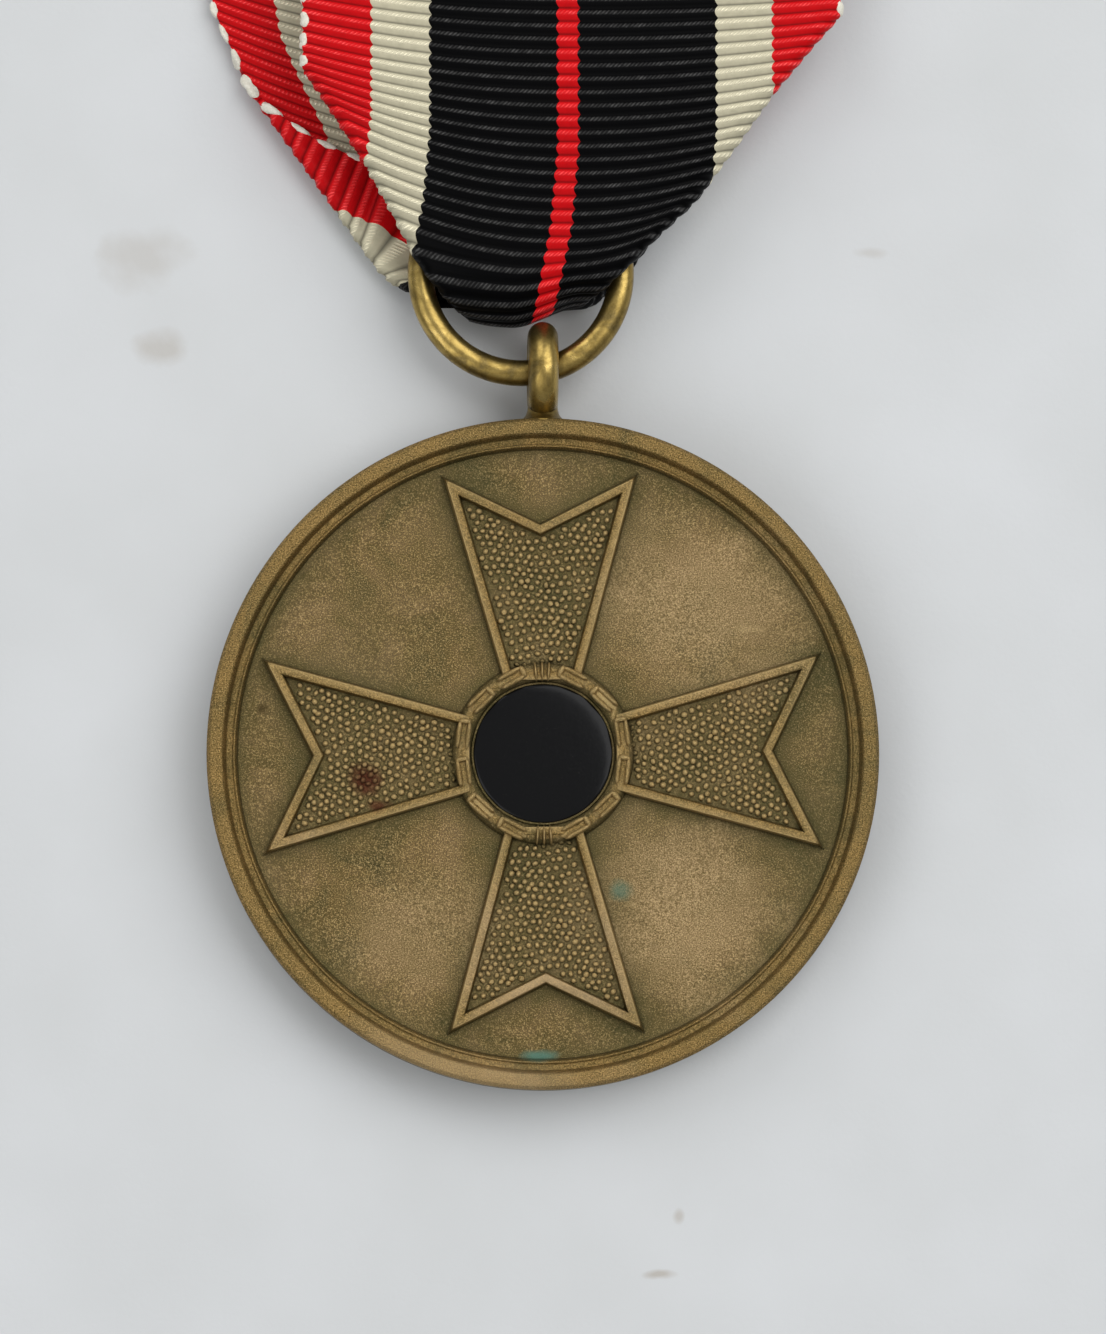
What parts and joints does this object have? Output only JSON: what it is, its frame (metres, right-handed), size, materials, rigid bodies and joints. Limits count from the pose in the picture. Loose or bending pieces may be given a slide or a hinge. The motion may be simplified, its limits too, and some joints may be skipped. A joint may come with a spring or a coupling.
{
  "type": "military service medal",
  "caption": "Round bronze service medal with a forked cross in relief and a plain enamelled centre, hung by an eye and ring from a folded striped ribbon.",
  "frame": {"origin": "centre of the plain field on the back of the medal", "axes": "+Z out of the medal's face, +Y in the face from the medal to its ribbon, +X to the right with the face towards the viewer"},
  "size_m": [0.03, 0.0723, 0.0054],
  "materials": {
    "struck_bronze": "aged, satin",
    "brass_wire": "aged, satin",
    "black_enamel": "gloss",
    "woven_ribbon": "ribbed weave"
  },
  "bodies": {
    "medal": {"medal_disc": "struck_bronze", "centre_disc": "black_enamel", "suspension_eye": "brass_wire", "eye_foot": "brass_wire"},
    "loop": {"ribbon_loop": "woven_ribbon"},
    "ring": {"suspension_ring": "brass_wire"},
    "front_leg": {"ribbon_front_leg": "woven_ribbon"},
    "back_leg": {"ribbon_back_leg": "woven_ribbon"}
  },
  "joints": [
    {"name": "ring_swing", "type": "hinge", "parent": "medal", "child": "loop", "pos_m": [0, 0.01726, 0.001], "axis": [1, 0, 0], "range_deg": [-125, 125]},
    {"name": "ring_slip", "type": "hinge", "parent": "loop", "child": "ring", "pos_m": [-0.00098, 0.02163, 0.001], "axis": [0, 0, 1], "continuous": true},
    {"name": "front_leg_bend", "type": "hinge", "parent": "loop", "child": "front_leg", "pos_m": [0, 0.02801, 0.00267], "axis": [1, 0, 0], "range_deg": [0, 50]},
    {"name": "back_leg_bend", "type": "hinge", "parent": "loop", "child": "back_leg", "pos_m": [0, 0.02801, -0.0012], "axis": [1, 0, 0], "range_deg": [-50, 0]}
  ]
}
